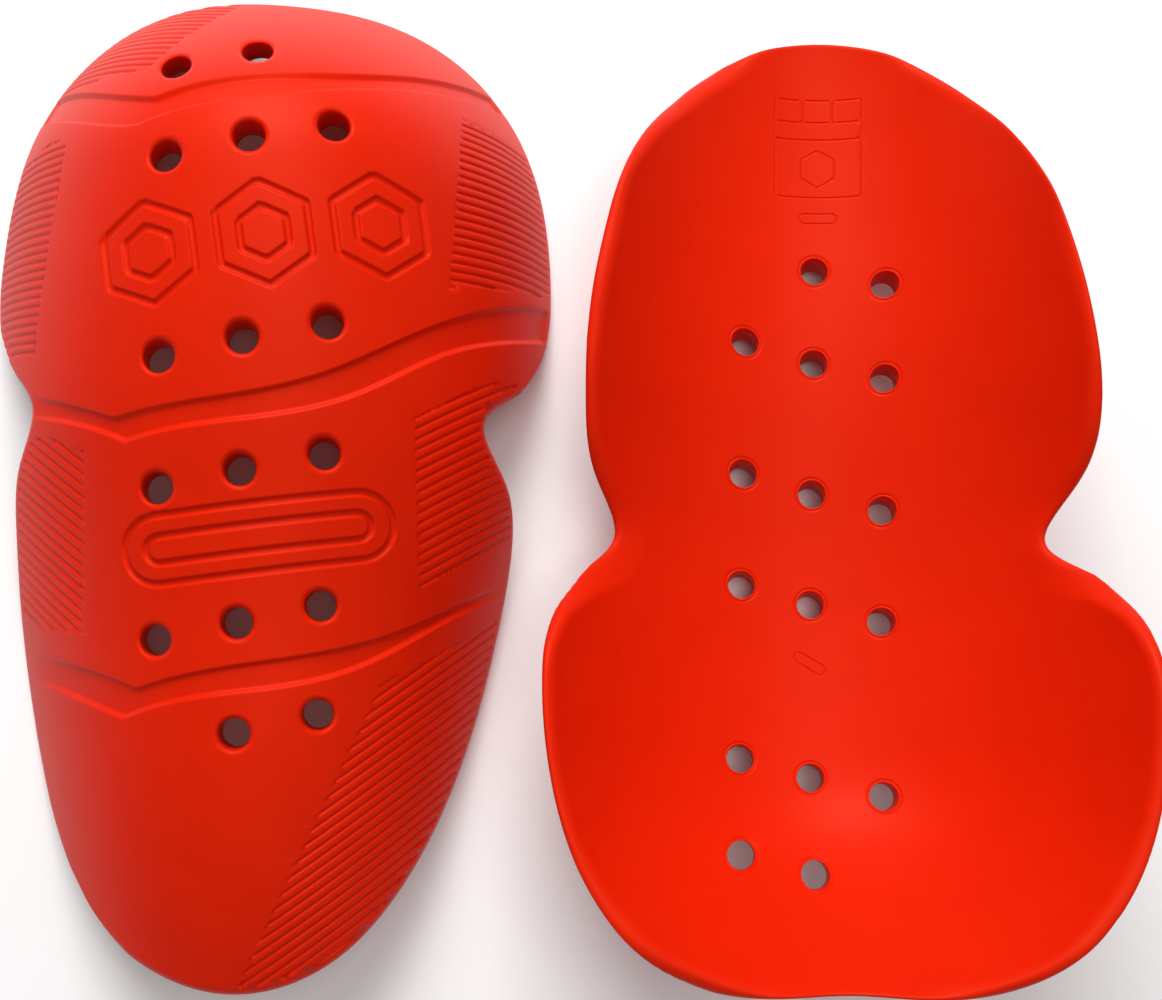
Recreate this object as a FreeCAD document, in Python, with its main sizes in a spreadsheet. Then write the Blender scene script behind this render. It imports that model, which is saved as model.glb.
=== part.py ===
import FreeCAD, Part
import os
from FreeCAD import Placement, Rotation, Vector

# A pair of knee and shin guards. Each guard is one closed-mould foam moulding: a thin dome with a short wide
# knee lobe (+Y), a long narrow shin lobe (-Y) and a notched waist between them, with rows of vent holes.
# One guard lies with its face up on its rims, the other lies on its back with the hollow up.
# Guard frame: origin on the crown line at the waist, +X across, +Y to the knee end, +Z out of the face.

SIZES = (
    ("knee_reach", 108, "waist to the knee tip"),
    ("shin_reach", 132, "waist to the shin tip"),
    ("knee_half_width", 69.5, "widest half width of the knee lobe"),
    ("shin_half_width", 61, "widest half width of the shin lobe"),
    ("waist_half_width", 53, "half width between the notches"),
    ("crown_wall", 10.4, "foam thickness along the crown line"),
    ("side_wall", 1.2, "each side of the hollow is this far inside the side of the dome"),
    ("rim_drop", 59.5, "from the waist crown down to the rims that rest on the floor"),
    ("waist_rim_drop", 34, "from the waist crown down to the rim in the notches"),
    ("tip_rim_drop", 35, "from the waist crown down to the rim at the shin tip"),
    ("knee_rim_drop", 54, "from the waist crown down to the rim at the knee tip"),
    ("vent_radius", 3.5, "bore of a vent hole"),
    ("vent_rounding", 1.1, "rounding of a vent hole's outer edge"),
    ("vent_pitch", 18, "column to column"),
    ("vent_rise", 4.4, "each row climbs this much towards +X per column"),
    ("vent_offset", -3.5, "middle column from the crown line"),
    ("vent_lean", 0.013, "the columns lean to -X by this share of their height"),
    ("band_width", 6, "recessed bands across the face"),
    ("band_depth", 1, "recessed bands, square to the face"),
    ("pair_gap", 5.3, "between the two guards at their widest"),
    ("pair_stagger", 25, "the upturned guard lies this much lower on the floor"),
    ("back_roll", 11, "degrees that the upturned guard leans to its side"),
    ("back_pitch", 8, "degrees that the upturned guard leans to its knee end"),
    ("back_yaw", 1.3, "degrees that the upturned guard is turned on the floor"),
)

# The dome is lofted through half-ellipses. Each stands at a share of one reach, is wider than a named half
# width by "extra", is "rise" high, has its top at "crown", and its wall is thinner by "thinning".
STATIONS = (
    # name, reach, share, half width, extra, rise, crown, thinning
    ("shin_end", "shin_reach", -1.045, "shin_half_width", -5, 86, -30, 5.5),
    ("shin_low", "shin_reach", -0.833, "shin_half_width", -4, 83, -19.5, 2.5),
    ("shin_mid", "shin_reach", -0.568, "shin_half_width", 4, 98, -12.5, 0),
    ("shin_top", "shin_reach", -0.303, "shin_half_width", 10.5, 101, -8.3, 0),
    ("waist", "knee_reach", 0, "waist_half_width", 20.5, 92, 0, 0),
    ("knee_low", "knee_reach", 0.231, "knee_half_width", 9.5, 113, 3.4, 0),
    ("knee_mid", "knee_reach", 0.444, "knee_half_width", 10.5, 125, 4.3, 0),
    ("knee_top", "knee_reach", 0.648, "knee_half_width", 7.5, 126, 0.6, 0),
    ("knee_brow", "knee_reach", 0.833, "knee_half_width", 1.5, 114, -16.4, 0),
    ("knee_end", "knee_reach", 1.037, "knee_half_width", -7.5, 95, -49, 1.5),
)

# The plan outline, from the shin tip up the right side and down the left: share of the reach, share of the
# half width. The two notches are not quite level, as on the real moulding.
RIGHT_SIDE = (
    ("shin", -1, 0), ("shin", -0.958, 0.31), ("shin", -0.848, 0.565), ("shin", -0.708, 0.745),
    ("shin", -0.538, 0.877), ("shin", -0.364, 0.96), ("shin", -0.205, 1), ("shin", -0.083, 0.95),
    ("waist", 0.023, 0.97), ("knee", 0.116, 0.885), ("knee", 0.218, 0.975), ("knee", 0.398, 1),
    ("knee", 0.611, 0.957), ("knee", 0.792, 0.842), ("knee", 0.93, 0.626), ("knee", 0.994, 0.331),
    ("knee", 0.995, 0),
)
LEFT_SIDE = (
    ("knee", 1, -0.331), ("knee", 0.94, -0.626), ("knee", 0.782, -0.842), ("knee", 0.574, -0.957),
    ("knee", 0.38, -0.993), ("knee", 0.213, -0.97), ("knee", 0.106, -0.88), ("waist", 0.014, -1.02),
    ("shin", -0.091, -0.96), ("shin", -0.205, -0.992), ("shin", -0.379, -0.975), ("shin", -0.576, -0.893),
    ("shin", -0.765, -0.746), ("shin", -0.894, -0.55), ("shin", -0.973, -0.295),
)

# The rim seen from the side: share of the reach, and how far it has come down from one named drop to the
# rest drop. It curves up at both tips and in the notches, and lies level and flat under both lobes.
TIP_RIM = (
    ("shin", -1.08, "tip_rim_drop", 0), ("shin", -0.955, "tip_rim_drop", 0.02),
    ("shin", -0.848, "tip_rim_drop", 0.29), ("shin", -0.727, "tip_rim_drop", 0.73),
    ("shin", -0.606, "rim_drop", 0),
)
WAIST_RIM = (
    ("shin", -0.439, "rim_drop", 0), ("shin", -0.303, "waist_rim_drop", 0.91),
    ("shin", -0.167, "waist_rim_drop", 0.63), ("shin", -0.061, "waist_rim_drop", 0.22),
    ("knee", 0.019, "waist_rim_drop", 0), ("knee", 0.111, "waist_rim_drop", 0.24),
    ("knee", 0.222, "waist_rim_drop", 0.69), ("knee", 0.333, "waist_rim_drop", 0.94),
    ("knee", 0.435, "rim_drop", 0),
)
KNEE_RIM = (
    ("knee", 0.88, "rim_drop", 0), ("knee", 0.935, "knee_rim_drop", 0.7), ("knee", 0.99, "knee_rim_drop", 0),
    ("knee", 1.08, "knee_rim_drop", -0.5),
)

# Vent rows: share of the reach at the middle column, and the columns that the row has.
VENT_ROWS = (
    ("shin", -0.542, (0, 1)),
    ("shin", -0.356, (-1, 0, 1)),
    ("shin", -0.102, (-1, 0, 1)),
    ("knee", 0.137, (-1, 0, 1)),
    ("knee", 0.546, (-1, 0, 1)),
    ("knee", 0.765, (-1, 0)),
)

# Recessed bands: centre lines in plan, as shares of a reach and millimetres across.
BANDS = (
    (("knee", 0.81, -75), ("knee", 0.65, -45), ("knee", 0.61, -28), ("knee", 0.636, -19), ("knee", 0.676, 3),
     ("knee", 0.713, 19), ("knee", 0.796, 42), ("knee", 0.95, 75)),
    (("knee", 0.046, -75), ("shin", -0.011, -42), ("shin", -0.042, -30), ("knee", 0, -5), ("knee", 0.065, 19),
     ("knee", 0.167, 38), ("knee", 0.236, 53), ("knee", 0.333, 80)),
    (("shin", -0.417, -75), ("shin", -0.464, -42), ("shin", -0.5, -27), ("shin", -0.447, 0),
     ("shin", -0.396, 28), ("shin", -0.346, 41), ("shin", -0.284, 59), ("shin", -0.227, 75)),
)

CLEARANCE = 20  # how far cutting and trimming blocks run past the dome
TOLERANCE = 0.05  # a vent's loop is told from the other edges this closely

doc = FreeCAD.newDocument("KneeGuards")
sheet = doc.addObject("Spreadsheet::Sheet", "Sizes")
station_cells = [
    (f"{name}_{kind}", value, f"{name} section")
    for name, _, share, _, extra, rise, crown, thinning in STATIONS
    for kind, value in (
        ("share", share), ("extra", extra), ("rise", rise), ("crown", crown), ("thinning", thinning))
]
for row, (alias, value, note) in enumerate(list(SIZES) + station_cells, start=1):
    sheet.set(f"A{row}", alias.replace("_", " "))
    sheet.set(f"B{row}", str(value))
    sheet.setAlias(f"B{row}", alias)
    sheet.set(f"C{row}", note)
doc.recompute()


def size(alias):
    return float(sheet.get(alias))


def along(lobe, share):
    """Y of a share of the shin or knee reach. The waist counts along the knee reach."""
    return share * size("shin_reach" if lobe == "shin" else "knee_reach")


def bind(obj, **expressions):
    for path, expression in expressions.items():
        obj.setExpression(path.replace("__", "."), expression)
    return obj


def dome(name, wall_up="0", wall_out="0", thinning="0"):
    """The closed loft through the half-ellipses, sunk by a wall, which thins towards the tips."""
    upright = Rotation(Vector(0, 0, -1), Vector(1, 0, 0), Vector(0, -1, 0), "XYZ")
    sections = []
    for station, reach, _, half_width, *_ in STATIONS:
        ellipse = doc.addObject("Part::Ellipse", f"{name}_{station}")
        ellipse.Placement = Placement(Vector(), upright)
        bind(
            ellipse,
            MajorRadius=f"Sizes.{station}_rise - {wall_up} + Sizes.{station}_thinning * {thinning}",
            MinorRadius=f"Sizes.{half_width} + Sizes.{station}_extra - {wall_out}",
            Placement__Base__y=f"Sizes.{reach} * Sizes.{station}_share",
            Placement__Base__z=f"Sizes.{station}_crown - Sizes.{station}_rise",
        )
        sections.append(ellipse)
    loft = doc.addObject("Part::Loft", name)
    loft.Sections = sections
    loft.Solid = True
    return loft


def outline_point(lobe, share, across):
    return Vector(across * size(f"{lobe}_half_width"), along(lobe, share), 0)


def rim_point(lobe, share, drop, progress):
    start = size(drop)
    return Vector(0, along(lobe, share), -(start + progress * (size("rim_drop") - start)))


def plain_face(name, wire):
    obj = doc.addObject("Part::Feature", name)
    obj.Shape = Part.Face(wire)
    return obj


def extrusion(name, base, direction, expression, symmetric=False):
    block = doc.addObject("Part::Extrusion", name)
    block.Base = base
    block.DirMode = "Custom"
    block.Dir = direction
    block.Solid = True
    block.Symmetric = symmetric
    return bind(block, LengthFwd=expression)


def plan_block(name, wire):
    """A plan shape as an upright block, from above the dome down past the rims."""
    face = plain_face(f"{name}_face", wire)
    face.Placement = Placement(Vector(0, 0, CLEARANCE), Rotation())
    return extrusion(name, face, Vector(0, 0, -1), f"Sizes.rim_drop * 2 + {2 * CLEARANCE}")


def smooth_curve(points, **tangents):
    curve = Part.BSplineCurve()
    curve.interpolate(Points=points, **tangents)
    return curve.toShape()


def outline_wire():
    points = [outline_point(*point) for point in RIGHT_SIDE + LEFT_SIDE]
    return Part.Wire([smooth_curve(points, PeriodicFlag=True)])


def rim_block(name):
    """Everything above the rim line, across the whole width."""
    level = Vector(0, 1, 0)
    steep = Vector(0, 1, 1)
    tip, waist, knee = ([rim_point(*point) for point in run] for run in (TIP_RIM, WAIST_RIM, KNEE_RIM))
    start, end = tip[0], knee[-1]
    above = [Vector(0, end.y, CLEARANCE), Vector(0, start.y, CLEARANCE)]
    wire = Part.Wire([
        smooth_curve(tip, InitialTangent=level, FinalTangent=level),
        Part.LineSegment(tip[-1], waist[0]).toShape(),
        smooth_curve(waist, InitialTangent=level, FinalTangent=level),
        Part.LineSegment(waist[-1], knee[0]).toShape(),
        smooth_curve(knee, InitialTangent=level, FinalTangent=steep),
        *Part.makePolygon([end, *above, start]).Edges,
    ])
    return extrusion(name, plain_face(f"{name}_face", wire), Vector(1, 0, 0),
                     "Sizes.knee_half_width * 2 + Sizes.shin_half_width * 2", symmetric=True)


def band_wire(centre_line):
    """A strip of the band width around a centre line, mitred at its bends."""
    points = [Vector(across, along(lobe, share), 0) for lobe, share, across in centre_line]
    half = size("band_width") / 2
    upper, lower = [], []
    for index, point in enumerate(points):
        before = points[max(index - 1, 0)]
        after = points[min(index + 1, len(points) - 1)]
        run = after - before
        side = Vector(-run.y, run.x, 0).normalize() * half
        upper.append(point + side)
        lower.append(point - side)
    return Part.makePolygon([*upper, *reversed(lower), upper[0]])


def vent_cylinders(name):
    cylinders = []
    for row, (lobe, share, columns) in enumerate(VENT_ROWS, start=1):
        for column in columns:
            height = f"Sizes.{lobe}_reach * {share}"
            middle = f"Sizes.vent_offset - Sizes.vent_lean * {height}"
            cylinder = doc.addObject("Part::Cylinder", f"{name}_{row}_{column + 2}")
            bind(
                cylinder,
                Radius="Sizes.vent_radius",
                Height=f"Sizes.rim_drop + {2 * CLEARANCE}",
                Placement__Base__x=f"{middle} + Sizes.vent_pitch * {column}",
                Placement__Base__y=f"{height} + Sizes.vent_rise * {column}",
                Placement__Base__z=f"{-CLEARANCE} - Sizes.rim_drop",
            )
            cylinders.append(cylinder)
    return cylinders


def boolean(kind, name, **links):
    obj = doc.addObject(f"Part::{kind}", name)
    for link, value in links.items():
        setattr(obj, link, value)
    return obj


def outer_vent_edges(shape):
    """The edge loops where the vents leave the face: as wide as a vent in plan, with foam below them."""
    found = []
    bore = 2 * size("vent_radius")
    below = size("crown_wall") / 3
    for index, edge in enumerate(shape.Edges, start=1):
        box = edge.BoundBox
        if max(abs(box.XLength - bore), abs(box.YLength - bore)) > TOLERANCE:
            continue
        beside = box.Center + Vector(bore, 0, -below)
        if shape.isInside(beside, TOLERANCE, False):
            found.append(index)
    return found


def make_guard(label):
    outer = dome(f"{label}_outer")
    skin = dome(f"{label}_skin", "Sizes.band_depth", "Sizes.band_depth")
    hollow = dome(f"{label}_hollow", "Sizes.crown_wall", "Sizes.side_wall", thinning="1")
    shell = boolean("Cut", f"{label}_shell", Base=outer, Tool=hollow)
    outline = plan_block(f"{label}_outline", outline_wire())
    trimmed = boolean("MultiCommon", f"{label}_trimmed", Shapes=[shell, outline, rim_block(f"{label}_rim")])
    strips = [plan_block(f"{label}_band_{n}", band_wire(line)) for n, line in enumerate(BANDS, start=1)]
    strips = boolean("MultiFuse", f"{label}_bands", Shapes=strips)
    recess = boolean("Cut", f"{label}_recess", Base=strips, Tool=skin)
    banded = boolean("Cut", f"{label}_banded", Base=trimmed, Tool=recess)
    vents = boolean("MultiFuse", f"{label}_vents", Shapes=vent_cylinders(f"{label}_vent"))
    vented = boolean("Cut", f"{label}_vented", Base=banded, Tool=vents)
    doc.recompute()
    rounding = size("vent_rounding")
    guard = boolean("Fillet", label, Base=vented)
    guard.Edges = [(index, rounding, rounding) for index in outer_vent_edges(vented.Shape)]
    guard.Label = label
    doc.recompute()
    return guard


def turned(guard, rotation):
    """Turns a guard and stands its lowest point on the floor."""
    guard.Placement = Placement(Vector(), rotation)
    doc.recompute()
    lowest = guard.Shape.optimalBoundingBox(False).ZMin
    guard.Placement = Placement(Vector(0, 0, -lowest), rotation)


def move(guard, x, y):
    guard.Placement = Placement(guard.Placement.Base + Vector(x, y, 0), guard.Placement.Rotation)


face_up = make_guard("guard_face_up")
hollow_up = make_guard("guard_hollow_up")
guards = (face_up, hollow_up)

turned(face_up, Rotation())
on_its_back = Rotation(size("back_yaw"), -size("back_roll"), 180 - size("back_pitch"))
turned(hollow_up, on_its_back)
move(hollow_up, 2 * size("knee_half_width") + size("pair_gap"), -size("pair_stagger"))
doc.recompute()

# the origin is the middle of the pair, on the floor
pair = face_up.Shape.optimalBoundingBox(False)
pair.add(hollow_up.Shape.optimalBoundingBox(False))
for guard in guards:
    move(guard, -pair.Center.x, -pair.Center.y)
doc.recompute()

for obj in doc.Objects:
    assert not {"Invalid", "Error"} & set(obj.State), f"{obj.Name} failed: {obj.State}"
os.makedirs("parts", exist_ok=True)
for guard in guards:
    assert not guard.Shape.isNull() and guard.Shape.isValid() and len(guard.Shape.Solids) == 1, guard.Label
    box = guard.Shape.optimalBoundingBox(False)
    print(guard.Label, "volume", round(guard.Shape.Volume), "box", [round(v, 2) for v in (
        box.XMin, box.YMin, box.ZMin, box.XMax, box.YMax, box.ZMax)])
    guard.Shape.exportStep(f"parts/{guard.Label}.step")
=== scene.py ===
import math

import bmesh
import bpy
import numpy as np
from mathutils import Euler, Matrix, Vector
from mathutils.geometry import delaunay_2d_cdt


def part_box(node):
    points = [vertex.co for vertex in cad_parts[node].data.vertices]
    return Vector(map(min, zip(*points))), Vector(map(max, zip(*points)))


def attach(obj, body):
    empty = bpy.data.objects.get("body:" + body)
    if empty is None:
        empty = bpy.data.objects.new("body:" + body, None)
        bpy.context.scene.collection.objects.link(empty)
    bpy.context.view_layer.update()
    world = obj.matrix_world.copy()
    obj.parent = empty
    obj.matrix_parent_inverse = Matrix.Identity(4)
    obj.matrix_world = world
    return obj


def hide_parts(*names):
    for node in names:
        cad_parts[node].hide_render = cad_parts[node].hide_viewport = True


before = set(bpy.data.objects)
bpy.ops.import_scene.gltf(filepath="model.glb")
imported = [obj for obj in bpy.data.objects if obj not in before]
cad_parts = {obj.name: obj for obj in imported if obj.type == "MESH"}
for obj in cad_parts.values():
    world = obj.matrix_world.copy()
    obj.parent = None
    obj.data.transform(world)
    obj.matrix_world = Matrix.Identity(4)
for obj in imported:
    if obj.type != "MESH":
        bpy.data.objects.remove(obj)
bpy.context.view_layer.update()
mm = 0.001


# a smooth curve through a few values
def cubic(knots, values):
    knots = np.asarray(knots, float)
    values = np.asarray(values, float)
    count = len(knots)
    gap = np.diff(knots)
    climb = np.diff(values) / gap
    system = np.eye(count)
    right = np.zeros(count)
    for i in range(1, count - 1):
        system[i, i - 1:i + 2] = gap[i - 1], 2 * (gap[i - 1] + gap[i]), gap[i]
        right[i] = 6 * (climb[i] - climb[i - 1])
    if count > 3:
        system[0, :3] = gap[1], -gap[0] - gap[1], gap[0]
        system[-1, -3:] = gap[-1], -gap[-1] - gap[-2], gap[-2]
    bend = np.linalg.solve(system, right)

    def at(t):
        i = np.clip(np.searchsorted(knots, t) - 1, 0, count - 2)
        after, before, width = knots[i + 1] - t, t - knots[i], gap[i]
        curved = (bend[i] * after**3 + bend[i + 1] * before**3) / (6 * width)
        straight = (values[i] / width - bend[i] * width / 6) * after
        return curved + straight + (values[i + 1] / width - bend[i + 1] * width / 6) * before

    return at


# a curve that never swings past its values, so level runs stay level
def eased(knots, values):
    knots = np.asarray(knots, float)
    values = np.asarray(values, float)
    gap = np.diff(knots)
    climb = np.diff(values) / gap
    slope = np.zeros(len(knots))
    together = climb[:-1] * climb[1:] > 0
    both = np.where(together, climb[:-1] + climb[1:], 1)
    slope[1:-1] = np.where(together, 2 * climb[:-1] * climb[1:] / both, 0)

    def at(t):
        i = np.clip(np.searchsorted(knots, t) - 1, 0, len(knots) - 2)
        width = gap[i]
        s = np.clip((t - knots[i]) / width, 0, 1)
        ends = values[i] + (values[i + 1] - values[i]) * s * s * (3 - 2 * s)
        return ends + width * s * (1 - s) * (slope[i] * (1 - s) - slope[i + 1] * s)

    return at


# a smooth loop through a few points, cut into even steps
def closedCurve(points, step):
    points = np.asarray(points, float)
    legs = np.linalg.norm(np.roll(points, -1, 0) - points, axis=1)
    knots = np.concatenate([[0], np.cumsum(np.tile(legs, 3))[:-1]])
    turns = np.vstack([points] * 3)
    length = legs.sum()
    count = round(length / step)
    t = length + np.arange(count) * length / count
    return np.column_stack([cubic(knots, turns[:, 0])(t), cubic(knots, turns[:, 1])(t)])


# an S-shaped rise from 0 to 1
def smooth(s):
    s = np.clip(s, 0, 1)
    return s * s * (3 - 2 * s)


# the moulding, in millimetres: x across, y to the knee end, z out of the face,
# origin on the crown at the waist
dome = {
    "y": (-138, -110, -75, -40, 0, 25, 48, 70, 90, 112),
    "halfWidth": (56, 57, 65, 71.5, 73.5, 79, 80, 77, 71, 62),
    "rise": (86, 83, 98, 101, 92, 113, 125, 126, 114, 95),
    "crown": (-30, -19.5, -12.5, -8.3, 0, 3.4, 4.3, 0.6, -16.4, -49),
    "thinning": (5.5, 2.5, 0, 0, 0, 0, 0, 0, 0, 1.5),
    "crownWall": 10.4,
    "sideWall": 1.2,
    "flattest": 0.02,
}
outlineStep = {"lip": 0.5, "coarse": 6}
outline = (
    (0, -132), (19, -126.5), (34.5, -112), (45.5, -93.5), (53.5, -71), (58.5, -48), (61, -27),
    (58, -11), (51.5, 2.5), (61.5, 12.5), (67.8, 23.5), (69.5, 43), (66.5, 66), (58.5, 85.5),
    (43.5, 100.5), (23, 107.4), (0, 107.5), (-23, 108), (-43.5, 101.5), (-58.5, 84.5),
    (-66.5, 62), (-69, 41), (-67.4, 23), (-61.2, 11.5), (-54, 1.5), (-58.5, -12), (-60.5, -27),
    (-59.5, -50), (-54.5, -76), (-45.5, -101), (-33.5, -118), (-18, -128.5),
)
# the rim from the side: level under both lobes, arched at the tips and the notches
rim = {
    "y": (-143, -126, -112, -96, -80, -58, -40, -22, -8, 2, 12, 24, 36, 47, 95, 101, 107, 117),
    "z": (-35, -35.5, -42.1, -53, -59.5, -59.5, -57.2, -50.1, -39.6, -34, -40.1, -51.6, -58,
          -59.5, -59.5, -57.9, -54, -51.2),
}
vents = {
    "bore": 3.5,
    "mouth": 1.3,
    "pitch": 18,
    "climb": 4.4,
    "offset": -3.5,
    "lean": 0.013,
    "rows": ((-71.5, (0, 1)), (-47, (-1, 0, 1)), (-13.5, (-1, 0, 1)), (14.8, (-1, 0, 1)),
             (59, (-1, 0, 1)), (82.6, (-1, 0))),
    "mouthRings": 8,
    "boreRings": (0.35, 0.7, 1),
    "edge": {"width": 0.12, "depth": 0.15},
    "scoredRing": ((3.95, 0), (4.05, 0.2), (4.17, 0.2), (4.27, 0)),
    "sides": 44,
}
ventCentres = np.array([
    (vents["offset"] - vents["lean"] * y + vents["pitch"] * column, y + vents["climb"] * column)
    for y, columns in vents["rows"] for column in columns
])

widthAt, riseAt, crownAt, thinningAt = (
    cubic(dome["y"], dome[key]) for key in ("halfWidth", "rise", "crown", "thinning"))
rimAt = eased(rim["y"], rim["z"])


# how high the face or the hollow stands over a point of the plan
def height(xy, hollow):
    x, y = xy[:, 0], xy[:, 1]
    across = widthAt(y) - (dome["sideWall"] if hollow else 0)
    up = riseAt(y) - (dome["crownWall"] - thinningAt(y) if hollow else 0)
    return crownAt(y) - riseAt(y) + up * np.sqrt(np.maximum(1 - (x / across) ** 2, dome["flattest"]))


# recessed bands: each edge is two curves that meet in a kink
bands = (
    {"upper": (((-72, 89), (-53, 80), (-39, 73), (-26, 69)),
               ((-26, 69), (-20, 71), (-1, 75), (16, 78), (35, 85), (51, 92), (68, 100))),
     "lower": (((-72, 82), (-59, 75), (-42, 66), (-30, 63)),
               ((-30, 63), (-19, 66), (3, 70.5), (22, 76), (49, 86), (68, 95))),
     "fade": (-90, -80, 80, 90)},
    {"upper": (((-70, 7), (-54, 3.4), (-42, 0.2), (-31.5, -3)),
               ((-31.5, -3), (-8, 1.8), (15.7, 8.8), (35, 20), (51, 28.7), (72, 37))),
     "lower": (((-70, 3), (-54, -0.8), (-42, -3.4), (-29, -7.8)),
               ((-29, -7.8), (-3.5, -2.6), (23, 5.2), (41, 16.2), (54, 22), (72, 29.5))),
     "fade": (-57, -43, 64, 80)},
    {"upper": (((-66, -54.5), (-53.6, -56.4), (-41, -58.3), (-25, -62.6)),
               ((-25, -62.6), (2.5, -55.6), (31.5, -48.7), (45, -42.5), (66, -33))),
     "lower": (((-66, -60.5), (-52.6, -62.4), (-44, -64.4), (-28, -69)),
               ((-28, -69), (-1.6, -62), (24.5, -56), (38, -48.8), (60, -38.5))),
     "fade": (-56, -40, 44, 62)},
)
bandShape = {"depth": 1.0, "slope": 1.3}


def edgeCurve(edge):
    left, right = (np.array(part, float) for part in edge)
    leftAt, rightAt = cubic(left[:, 0], left[:, 1]), cubic(right[:, 0], right[:, 1])
    kink = right[0, 0]
    return lambda x: np.where(x < kink, leftAt(np.minimum(x, kink)), rightAt(np.maximum(x, kink)))


bandEdges = [(edgeCurve(band["upper"]), edgeCurve(band["lower"]), band["fade"]) for band in bands]


def bandDip(xy):
    x, y = xy[:, 0], xy[:, 1]
    dip = np.zeros(len(xy))
    for upper, lower, (gone, full, fullEnd, goneEnd) in bandEdges:
        fade = smooth((x - gone) / (full - gone)) * smooth((goneEnd - x) / (goneEnd - fullEnd))
        belowUpper = smooth((upper(x) - y) / bandShape["slope"] + 0.5)
        aboveLower = smooth((y - lower(x)) / bandShape["slope"] + 0.5)
        dip = np.maximum(dip, bandShape["depth"] * fade * (belowUpper * aboveLower))
    return dip


# patches of fine grooves that run off the sides
patches = (
    {"corners": ((42.5, 76), (80, 80), (80, 46), (66, 38), (41, 31)), "slope": 0.12},
    {"corners": ((-53, 12), (-48, 62), (-52, 66), (-80, 62), (-80, 16)), "slope": -0.12},
    {"corners": ((-38.5, -9.5), (-38.5, -51), (-50, -51), (-70, -40), (-70, -4), (-48, -6)), "slope": -0.7},
    {"corners": ((34, 0.6), (48, 10.5), (58, 14), (75, 6), (75, -18), (60, -24), (37, -39)),
     "slope": 0.62},
    {"corners": ((29, -60), (56, -45), (75, -36), (75, -140), (-1.5, -140), (-1.5, -131.5),
                 (12.7, -97.5)),
     "slope": 0.7},
    {"corners": ((-15, 99.6), (-29, 78), (-50, 80), (-75, 92), (-75, 115), (-8, 115)), "slope": -0.3},
)
groove = {"pitch": 2.1, "half": 0.6, "depth": 0.45, "fade": 0.7}
# bands and grooves die out just above the rim and beside the outline
rimFade = {"height": 4, "inset": 1.8}


def distanceTo(xy, line):
    best = np.full(len(xy), np.inf)
    for a, b in zip(line[:-1], line[1:]):
        leg = b - a
        t = np.clip(((xy - a) @ leg) / (leg @ leg), 0, 1)
        best = np.minimum(best, np.hypot(*(xy - a - t[:, None] * leg).T))
    return best


def insideOf(xy, loop):
    inside = np.zeros(len(xy), bool)
    for a, b in zip(loop, np.roll(loop, -1, 0)):
        if a[1] == b[1]:
            continue
        crosses = (a[1] > xy[:, 1]) != (b[1] > xy[:, 1])
        inside ^= crosses & (xy[:, 0] < a[0] + (xy[:, 1] - a[1]) * (b[0] - a[0]) / (b[1] - a[1]))
    return inside


def closeLine(points):
    points = np.asarray(points, float)
    return np.vstack([points, points[:1]])


def grooveDip(xy):
    dip = np.zeros(len(xy))
    for patch in patches:
        corners = np.array(patch["corners"], float)
        near = insideOf(xy, corners)
        if not near.any():
            continue
        here = xy[near]
        lean = math.hypot(1, patch["slope"])
        turn = (here[:, 1] - patch["slope"] * here[:, 0]) / lean / groove["pitch"]
        off = np.abs(turn - np.floor(turn) - 0.5) * groove["pitch"]
        fade = smooth(distanceTo(here, closeLine(corners)) / groove["fade"])
        dip[near] = groove["depth"] * smooth(1 - off / groove["half"]) * fade
    return dip


def placed(points, centre, turn):
    c, s = math.cos(math.radians(turn)), math.sin(math.radians(turn))
    return np.asarray(points, float) @ np.array(((c, s), (-s, c))) + np.asarray(centre, float)


def arc(radius, start, end, count, middle=0):
    a = np.radians(np.linspace(start, end, count))
    return np.column_stack([middle + radius * np.cos(a), radius * np.sin(a)])


def hexagon(radius):
    return arc(radius, 30, 390, 7)


def capsule(length, radius):
    points = 12
    right = arc(radius, -90, 90, points, length / 2 - radius)
    left = arc(radius, 90, 270, points, radius - length / 2)
    return closeLine(np.vstack([right, left]))


# plain engraved figures: hexagons and capsules on the face, a divided plate and bars in the hollow
engraving = {"steepness": 1.6}
motif = {"half": 1.0, "depth": 0.85}
faceLines = [
    *[(placed(hexagon(radius), (x, y), 10), motif)
      for x, y in ((-25, 33), (0, 37.6), (25, 42.2)) for radius in (11.5, 6)],
    (placed(capsule(60, 7.5), (1, -28), 9), motif),
    (placed(capsule(50, 3), (1, -28), 9), motif),
]
plateLine = {"half": 0.32, "depth": 0.2}
hollowLines = [
    (np.array(line, float), plateLine) for line in (
        ((-12.7, -117), (9.6, -117), (9.6, -91.3), (-12.7, -91.3), (-12.7, -117)),
        ((-12.7, -111.3), (9.6, -111.3)),
        ((-12.7, -106.7), (9.6, -106.7)),
        ((-5.3, -117), (-5.3, -111.3)),
        ((2.2, -117), (2.2, -111.3)),
    )
] + [
    (placed(hexagon(5), (-1.5, -99), 0), plateLine),
    (placed(capsule(10, 1.3), (-1.5, -85.6), 0), plateLine),
    (placed(capsule(9, 1.3), (-4, 30), 30), plateLine),
]


def lineDip(xy, lines):
    dip = np.zeros(len(xy))
    for line, cut in lines:
        near = ((xy > line.min(0) - cut["half"]) & (xy < line.max(0) + cut["half"])).all(1)
        if near.any():
            away = distanceTo(xy[near], line)
            share = smooth((1 - away / cut["half"]) * engraving["steepness"])
            dip[near] = np.maximum(dip[near], cut["depth"] * share)
    return dip


coarseOutline = closeLine(closedCurve(outline, outlineStep["coarse"]))


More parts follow.
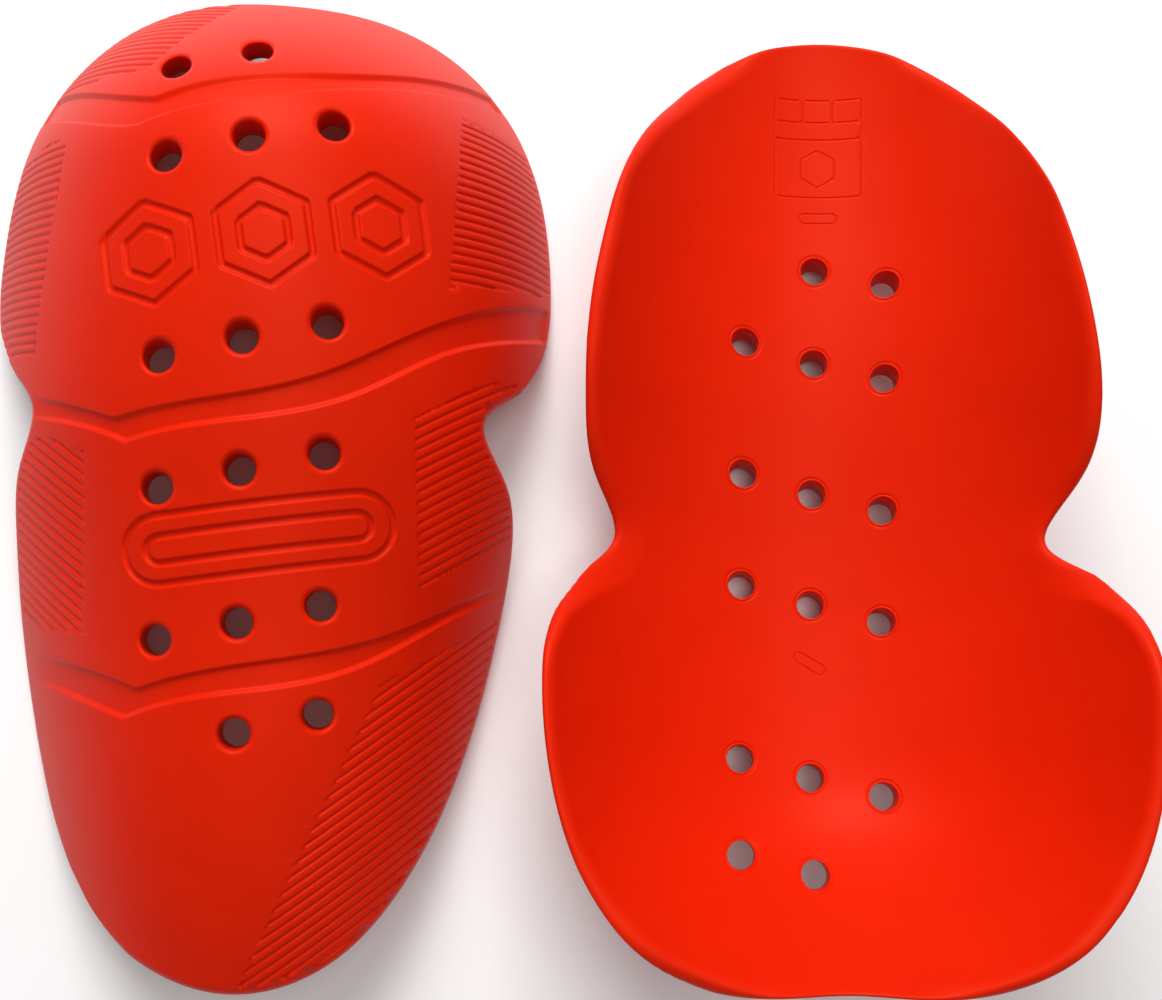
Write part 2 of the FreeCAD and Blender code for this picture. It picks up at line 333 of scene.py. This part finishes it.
# how far the skin sinks at a point of the plan
def dip(xy, hollow):
    if hollow:
        return lineDip(xy, hollowLines)
    aboveRim = height(xy, False) - rimAt(xy[:, 1])
    beside = smooth(distanceTo(xy, coarseOutline) / rimFade["inset"])
    fade = smooth(aboveRim / rimFade["height"]) * beside
    return np.maximum(np.maximum(bandDip(xy), grooveDip(xy)) * fade, lineDip(xy, faceLines))


# the direction a surface faces
def facing(xy, surface):
    reach = 0.12
    steps = np.array(((reach, 0), (0, reach)))
    across = surface(xy + steps[0]) - surface(xy - steps[0])
    along = surface(xy + steps[1]) - surface(xy - steps[1])
    normal = np.cross(across, along)
    return normal / np.linalg.norm(normal, axis=1)[:, None]


def plainSkin(hollow):
    return lambda xy: np.column_stack([xy, height(xy, hollow)])


# the skin sinks square to itself, never straight down
def dippedSkin(hollow):
    plain = plainSkin(hollow)
    side = 1 if hollow else -1
    return lambda xy: plain(xy) + side * dip(xy, hollow)[:, None] * facing(xy, plain)


# points that follow a line, so every edge in the skin has its own rows of points
def rowsAlong(line, offsets, step):
    line = np.asarray(line, float)
    legs = np.hypot(*np.diff(line, axis=0).T)
    along = np.concatenate([[0], np.cumsum(legs)])
    t = np.linspace(0, along[-1], max(2, math.ceil(along[-1] / step)))
    points = np.column_stack([np.interp(t, along, line[:, 0]), np.interp(t, along, line[:, 1])])
    run = np.gradient(points, axis=0)
    side = np.column_stack([-run[:, 1], run[:, 0]]) / np.hypot(*run.T)[:, None]
    return np.vstack([points + offset * side for offset in offsets])


# sizes of the mesh, in millimetres; line and groove rows are shares of a cut's half width
net = {
    "reach": 72,
    "low": -134,
    "high": 112,
    "fill": 2.2,
    "fillRows": 0.866,
    "bandRows": (-1.6, -1, -0.65, -0.35, 0, 0.35, 0.65, 1, 1.6),
    "lineRows": np.array((-1.8, -1.3, -1, -0.7, -0.4, 0, 0.4, 0.7, 1, 1.3, 1.8)),
    "grooveRows": np.array((-1, -0.45, 0.0, 0.45, 1)),
    "patchEdge": (-0.2, 0, groove["fade"]),
    "faceStep": 1.2,
    "grooveStep": 1.5,
    "fineStep": 1.0,
    "cell": 0.08,
    "clear": 1.0,
    "ventGap": 0.4,
    "ventShare": 0.999,
    "sameLine": 1e-6,
    "leastArea": 1e-7,
    "weldDigits": 3,
}


def facePoints():
    rows = []
    for upper, lower, _ in bandEdges:
        x = np.arange(-net["reach"], net["reach"], net["faceStep"])
        for edge in (upper, lower):
            rows.append(rowsAlong(np.column_stack([x, edge(x)]), net["bandRows"], net["faceStep"]))
    for line, cut in faceLines:
        rows.append(rowsAlong(line, net["lineRows"] * cut["half"], net["faceStep"]))
    for patch in patches:
        corners = np.array(patch["corners"], float)
        lean = math.hypot(1, patch["slope"])
        run = np.array((1, patch["slope"])) / lean
        side = np.array((-run[1], run[0]))
        reach = corners @ side
        start, end = (corners @ run).min(), (corners @ run).max()
        t = np.arange(start, end, net["grooveStep"])
        first = math.floor(reach.min() / groove["pitch"])
        for k in range(first, math.ceil(reach.max() / groove["pitch"])):
            for offset in net["grooveRows"] * groove["half"]:
                row = t[:, None] * run + ((k + 0.5) * groove["pitch"] + offset) * side
                rows.append(row[insideOf(row, corners)])
        rows.append(rowsAlong(closeLine(corners), net["patchEdge"], net["fineStep"]))
    return np.vstack(rows)


def hollowPoints():
    return np.vstack([rowsAlong(line, net["lineRows"] * cut["half"], net["fineStep"])
                      for line, cut in hollowLines])


# an even spread of points, every second row shifted by half a step
def hexFill(step):
    x, y = np.meshgrid(np.arange(-net["reach"], net["reach"], step),
                       np.arange(net["low"], net["high"], step * net["fillRows"]))
    x = x + (np.arange(x.shape[0]) % 2)[:, None] * step / 2
    return np.column_stack([x.ravel(), y.ravel()])


openingRadius = vents["bore"] + vents["mouth"]


def circle(centre, radius):
    a = np.arange(vents["sides"]) * 2 * math.pi / vents["sides"]
    return np.column_stack([centre[0] + radius * np.cos(a), centre[1] + radius * np.sin(a)])


def ventDistance(xy):
    return np.min([np.hypot(*(xy - centre).T) for centre in ventCentres], axis=0)


def clearOf(xy, border):
    return xy[insideOf(xy, border) & (ventDistance(xy) > openingRadius + net["ventGap"])]


# the plan of one side cut into triangles, with a round opening at every vent
def triangulated(border, extra, fill):
    rings = [border] + [circle(centre, openingRadius) for centre in ventCentres]
    edges = []
    start = 0
    for ring in rings:
        index = np.arange(len(ring)) + start
        edges += list(zip(index.tolist(), np.roll(index, -1).tolist()))
        start += len(ring)
    fixed = np.vstack(rings)
    extra, fill = clearOf(extra, border), clearOf(fill, border)
    free = np.vstack([extra, fill])
    extraCount = len(extra)

    def cellsOf(points, size):
        return [tuple(cell) for cell in np.floor(points / size).astype(int).tolist()]

    # one point to a cell, the earliest kept, and fill only where nothing else is near
    taken = set(cellsOf(fixed, net["cell"]))
    busy = set(cellsOf(fixed, net["clear"]))
    kept = []
    cells = zip(cellsOf(free, net["cell"]), cellsOf(free, net["clear"]))
    for i, (cell, (column, row)) in enumerate(cells):
        if i < extraCount:
            if cell in taken:
                continue
            taken.add(cell)
            busy.add((column, row))
        elif any((column + right, row + up) in busy for right in (-1, 0, 1) for up in (-1, 0, 1)):
            continue
        kept.append(i)
    points = np.vstack([fixed, free[kept]])
    _, _, faces, sources, _, _ = delaunay_2d_cdt(
        [Vector(point) for point in points.tolist()], edges, [], 0, net["sameLine"])
    found = {i: source[0] for i, source in enumerate(sources) if source}
    triangles = np.array([[found[v] for v in face] for face in faces if all(v in found for v in face)])
    # triangles between ring points alone may lie outside the border or over a vent
    corners = points[triangles]
    suspects = np.where((triangles < len(fixed)).all(1))[0]
    middle = corners[suspects].mean(1)
    astray = ~insideOf(middle, border) | (ventDistance(middle) < openingRadius * net["ventShare"])
    keep = np.ones(len(triangles), bool)
    keep[suspects[astray]] = False
    area = np.cross(corners[:, 1] - corners[:, 0], corners[:, 2] - corners[:, 0])
    keep &= np.abs(area) > net["leastArea"]
    triangles[area < 0] = triangles[area < 0][:, ::-1]
    return points, triangles[keep]


def inwardOf(ring):
    run = np.roll(ring, -2, 0) - np.roll(ring, 2, 0)
    inward = np.column_stack([-run[:, 1], run[:, 0]])
    return inward / np.hypot(*inward.T)[:, None]


# the step in plan that covers a distance along the skin
def planStep(edge, inward, distance, hollow):
    reach = 0.5
    slope = (height(edge + reach * inward, hollow) - height(edge, hollow)) / reach
    return distance / np.sqrt(1 + slope**2)


# the lip: a rounded strip that joins the two skins around the rim
lip = {"wall": 2.0, "land": 2.2, "blend": 2.4, "steps": 5, "evenOver": 24, "search": (16, 0.05)}
notchLand = {"y": 4, "extra": 5.5, "kneeReach": 15, "shinReach": 9}


# a running average along the closed ring
def evened(values):
    weights = np.hanning(lip["evenOver"] + 3)[1:-1]
    weights /= weights.sum()
    reach = len(weights) // 2
    return np.convolve(np.concatenate([values[-reach:], values, values[:reach]]), weights, "valid")


def lipControls():
    ring = closedCurve(outline, outlineStep["lip"])
    x, y = ring.T
    # where the dome meets the rim before the outline does, the edge is there
    share = np.clip((rimAt(y) - crownAt(y) + riseAt(y)) / riseAt(y), 0, 1)
    meets = widthAt(y) * np.sqrt(1 - share**2)
    edge = np.column_stack([np.sign(x) * np.minimum(np.abs(x), meets), y])
    inward = inwardOf(edge)
    top = np.maximum(height(edge, False), rimAt(y))
    # inner edge: the first place inwards where the hollow is above the rim
    steps = np.arange(0, *lip["search"])
    spots = [edge + step * inward for step in steps]
    above = np.array([height(spot, True) - rimAt(spot[:, 1]) for spot in spots])
    first = steps[np.argmax(above >= 0, axis=0)]
    bottom = evened(np.where(first == 0, np.maximum(rimAt(y), height(edge, True)), rimAt(y)))
    # the lip widens to a flat ledge around both notches
    reach = np.where(y > notchLand["y"], notchLand["kneeReach"], notchLand["shinReach"])
    ledge = notchLand["extra"] * np.exp(-((y - notchLand["y"]) / reach) ** 2)
    first = evened(np.maximum(first, lip["land"] + ledge))
    shy = np.maximum(lip["wall"] - (top - bottom), 0)
    corner = edge + (planStep(edge, inward, 1, False) * shy)[:, None] * inward
    blend = corner + (planStep(corner, inward, lip["blend"], False))[:, None] * inward
    inner = edge + first[:, None] * inward
    innerZ = np.maximum(height(inner, True), rimAt(inner[:, 1]))
    end = inner + (planStep(inner, inward, lip["blend"], True))[:, None] * inward
    sunk = -dip(corner, False)[:, None]
    out = facing(corner, plainSkin(False))
    level = out * (1, 1, 0)
    cornerZ = np.where(shy > 0, height(corner, False), top)
    return [
        dippedSkin(False)(blend),
        np.column_stack([corner, cornerZ]) + sunk * out,
        np.column_stack([edge, bottom]) + sunk * level,
        np.column_stack([inner, innerZ]),
        dippedSkin(True)(end),
    ], blend, end


def lipRows(controls):
    start, corner, bottom, inner, end = controls
    halfWay = (corner + bottom) / 2
    underneath = (bottom + inner) / 2
    rows = []
    for a, b, c in ((start, corner, halfWay), (halfWay, bottom, underneath), (underneath, inner, end)):
        for t in np.arange(lip["steps"]) / lip["steps"]:
            rows.append((1 - t) ** 2 * a + 2 * t * (1 - t) * b + t * t * c)
    rows.append(end)
    return rows


# one vent: a rounded mouth in the face, the bore, a sharp edge and a scored ring in the hollow
def ventRows(centre):
    def ring(radius, hollow, sink):
        points = circle(centre, radius)
        return np.column_stack([points, height(points, hollow) + sink])

    bore, mouth = vents["bore"], vents["mouth"]
    rows = [ring(bore + mouth * (1 - math.sin(a)), False, -mouth * (1 - math.cos(a)))
            for a in np.linspace(0, math.pi / 2, vents["mouthRings"])]
    top, bottom = rows[-1], ring(bore, True, vents["edge"]["depth"])
    rows += [top + (bottom - top) * share for share in vents["boreRings"]]
    rows.append(ring(bore + vents["edge"]["width"], True, 0))
    rows += [ring(radius, True, sink) for radius, sink in (*vents["scoredRing"], (openingRadius, 0))]
    return rows


# four-sided faces between closed rows of points
def strip(rows, start):
    count = len(rows[0])
    here = np.arange(count)
    after = np.roll(here, -1)
    faces = []
    for row in range(len(rows) - 1):
        a, b = start + row * count, start + (row + 1) * count
        faces.append(np.column_stack([a + here, b + here, b + after, a + after]))
    return np.vstack(faces)


def guardMesh(name):
    controls, faceBorder, hollowBorder = lipControls()
    vertices, normals, faces = [], [], []
    total = 0
    sides = ((faceBorder, facePoints(), False), (hollowBorder, hollowPoints(), True))
    for border, extra, hollow in sides:
        points, triangles = triangulated(border, extra, hexFill(net["fill"]))
        skin = dippedSkin(hollow)
        vertices.append(skin(points))
        normals.append(facing(points, skin) * (-1 if hollow else 1))
        faces += ((triangles[:, ::-1] if hollow else triangles) + total).tolist()
        total += len(points)
        print("skin of the", "hollow" if hollow else "face", len(triangles), "triangles")
    for rows in [lipRows(controls)] + [ventRows(centre) for centre in ventCentres]:
        stacked = np.vstack(rows)
        faces += strip(rows, total).tolist()
        vertices.append(stacked)
        normals.append(np.zeros((len(stacked), 3)))
        total += len(stacked)
    vertices, normals = np.vstack(vertices), np.vstack(normals)
    # rows that meet share their points
    _, first, same = np.unique(
        np.round(vertices, net["weldDigits"]), axis=0, return_index=True, return_inverse=True)
    same = same.ravel()
    faces = [[int(same[v]) for v in face] for face in faces]
    faces = [face for face in faces if len(set(face)) == len(face)]
    vertices = vertices[first]
    shared = np.zeros((len(first), 3))
    np.add.at(shared, same, normals)
    length = np.linalg.norm(shared, axis=1)[:, None]
    normals = np.where(length > 0, shared / np.maximum(length, 1e-9), 0)
    mesh = bpy.data.meshes.new(name)
    mesh.from_pydata((vertices * mm).tolist(), [], faces)
    print(name, len(mesh.vertices), "vertices", len(mesh.polygons), "faces")
    return mesh, normals


def finishMesh(mesh, normals, place):
    mesh.transform(place)
    edit = bmesh.new()
    edit.from_mesh(mesh)
    print("open edges", sum(1 for edge in edit.edges if not edge.is_manifold))
    bmesh.ops.recalc_face_normals(edit, faces=edit.faces)
    edit.to_mesh(mesh)
    edit.free()
    mesh.polygons.foreach_set("use_smooth", [True] * len(mesh.polygons))
    turned = normals @ np.array(place.to_3x3().normalized()).T
    mesh.normals_split_custom_set_from_vertices(turned.tolist())
    mesh.update()


# sRGB hex to linear
def linear(colour):
    parts = [int(colour[i:i + 2], 16) / 255 for i in (1, 3, 5)]
    return [part / 12.92 if part <= 0.04045 else ((part + 0.055) / 1.055) ** 2.4 for part in parts] + [1]


def addNode(tree, kind, settings=(), links=()):
    node = tree.nodes.new(kind)
    for key, value in dict(settings).items():
        if isinstance(key, str) and hasattr(node, key):
            setattr(node, key, value)
        else:
            node.inputs[key].default_value = value
    for socket, source in dict(links).items():
        tree.links.new(source, node.inputs[socket])
    return node


# soft polyurethane impact foam, moulded in a closed mould: an even red skin with a satin,
# slightly warm sheen; its own grain is finer, and is drawn at 0.35 mm so that it shows
foam = {
    "colour": "#d82002",
    "deeper": "#cf1b01",
    "roughness": 0.46,
    "specular": 0.2,
    "sheenTint": "#ffb090",
    "grain": 0.35,
    "grainDetail": 2.0,
    "grainDepth": 0.03,
    "grainStrength": 0.5,
    "cloud": 14,
    "cloudDetail": 3.0,
}


def mouldedFoam():
    material = bpy.data.materials.new("moulded foam")
    material.use_nodes = True
    tree = material.node_tree
    tree.nodes.clear()
    place = addNode(tree, "ShaderNodeTexCoord").outputs["Object"]
    grain, cloud = (
        addNode(tree, "ShaderNodeTexNoise",
                {"Scale": 1 / (foam[size] * mm), "Detail": foam[size + "Detail"]}, {"Vector": place})
        for size in ("grain", "cloud"))
    bump = addNode(tree, "ShaderNodeBump",
                   {"Strength": foam["grainStrength"], "Distance": foam["grainDepth"] * mm},
                   {"Height": grain.outputs["Fac"]})
    # sockets 6 and 7 are the two colours of a colour mix, 0 its factor and 2 its result
    tint = addNode(tree, "ShaderNodeMix",
                   {"data_type": "RGBA", 6: linear(foam["deeper"]), 7: linear(foam["colour"])},
                   {0: cloud.outputs["Fac"]})
    shader = addNode(tree, "ShaderNodeBsdfPrincipled",
                     {"Roughness": foam["roughness"], "Specular IOR Level": foam["specular"],
                      "Specular Tint": linear(foam["sheenTint"])},
                     {"Base Color": tint.outputs[2], "Normal": bump.outputs["Normal"]})
    addNode(tree, "ShaderNodeOutputMaterial", {}, {"Surface": shader.outputs["BSDF"]})
    return material


def plainMaterial(name, colour, roughness):
    material = bpy.data.materials.new(name)
    material.use_nodes = True
    shader = material.node_tree.nodes["Principled BSDF"]
    shader.inputs["Base Color"].default_value = linear(colour)
    shader.inputs["Roughness"].default_value = roughness
    return material


foamSkin = mouldedFoam()
print("foam mixed")


def addGuard(name, node, body, mesh):
    guard = bpy.data.objects.new(name, mesh)
    bpy.context.scene.collection.objects.link(guard)
    mesh.materials.append(foamSkin)
    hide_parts(node)
    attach(guard, body)
    print(name, "placed")


faceUpMesh, normals = guardMesh("guardFaceUp")
upturnedMesh = faceUpMesh.copy()
upturnedMesh.name = "guardHollowUp"

faceUp = {"originFromLow": (69.1, 132.0, 59.5)}
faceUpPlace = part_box("guard_face_up")[0] + Vector(faceUp["originFromLow"]) * mm
finishMesh(faceUpMesh, normals, Matrix.Translation(faceUpPlace))
addGuard("guardFaceUp", "guard_face_up", "face_up_guard", faceUpMesh)

# the same moulding turned over, leaning on its dome
upturned = {"roll": -11, "pitch": 172, "yaw": 1.3}
turn = (Matrix.Rotation(math.radians(upturned["yaw"]), 4, "Z")
        @ Matrix.Rotation(math.radians(upturned["roll"]), 4, "Y")
        @ Matrix.Rotation(math.radians(upturned["pitch"]), 4, "X"))
low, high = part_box("guard_hollow_up")
spots = np.array([turn @ vertex.co for vertex in upturnedMesh.vertices])
middle = (spots.min(0) + spots.max(0)) / 2
shift = Vector(((low.x + high.x) / 2 - middle[0], (low.y + high.y) / 2 - middle[1],
                low.z - spots[:, 2].min()))
finishMesh(upturnedMesh, normals, Matrix.Translation(shift) @ turn)
addGuard("guardHollowUp", "guard_hollow_up", "upturned_guard", upturnedMesh)

# matt coated paper: a plain white ground with no gloss, a hair below the guards
ground = {"half": 6, "below": 0.1, "colour": "#f6f5f5", "roughness": 0.9}


def addFloor():
    mesh = bpy.data.meshes.new("floor")
    half = ground["half"]
    corners = [(-half, -half, 0), (half, -half, 0), (half, half, 0), (-half, half, 0)]
    mesh.from_pydata(corners, [], [(0, 1, 2, 3)])
    floor = bpy.data.objects.new("floor", mesh)
    floor.location.z = -ground["below"] * mm
    bpy.context.scene.collection.objects.link(floor)
    mesh.materials.append(plainMaterial("white paper", ground["colour"], ground["roughness"]))


def addLight(name, lightPlace, size, power):
    lamp = bpy.data.lights.new(name, "AREA")
    lamp.shape = "SQUARE"
    lamp.size = size
    lamp.energy = power
    light = bpy.data.objects.new(name, lamp)
    light.location = lightPlace
    towards = Vector(studio["aim"]) - Vector(lightPlace)
    light.rotation_euler = towards.to_track_quat("-Z", "Y").to_euler()
    bpy.context.scene.collection.objects.link(light)


# soft light: one large lamp from behind the knee ends, a weak one overhead, a dim white surround
studio = {"aim": (0, 0, 0.03), "surround": 0.3,
          "keyPlace": (-0.2, 0.92, 0.86), "keySize": 0.7, "keyPower": 17,
          "fillPlace": (0.1, 0.1, 1.3), "fillSize": 0.6, "fillPower": 4}
addFloor()
for lamp in ("key", "fill"):
    addLight(lamp, studio[lamp + "Place"], studio[lamp + "Size"], studio[lamp + "Power"])

world = bpy.data.worlds.new("studio")
world.use_nodes = True
world.node_tree.nodes["Background"].inputs["Color"].default_value = linear("#ffffff")
world.node_tree.nodes["Background"].inputs["Strength"].default_value = studio["surround"]
bpy.context.scene.world = world
bpy.context.scene.view_settings.view_transform = "Standard"
print("floor and light set")

view = {"from": (29.12, -44.11, 323.62), "turn": (4.45, -7.62, 1.78), "lens": 45.62, "sensor": 36,
        "nearest": 0.01}
camera = bpy.data.objects.new("camera", bpy.data.cameras.new("camera"))
bpy.context.scene.collection.objects.link(camera)
camera.location = faceUpPlace + Vector(view["from"]) * mm
camera.rotation_euler = Euler([math.radians(angle) for angle in view["turn"]], "XYZ")
camera.data.lens = view["lens"]
camera.data.sensor_width = view["sensor"]
camera.data.sensor_fit = "HORIZONTAL"
camera.data.clip_start = view["nearest"]
bpy.context.scene.camera = camera
print("camera set")
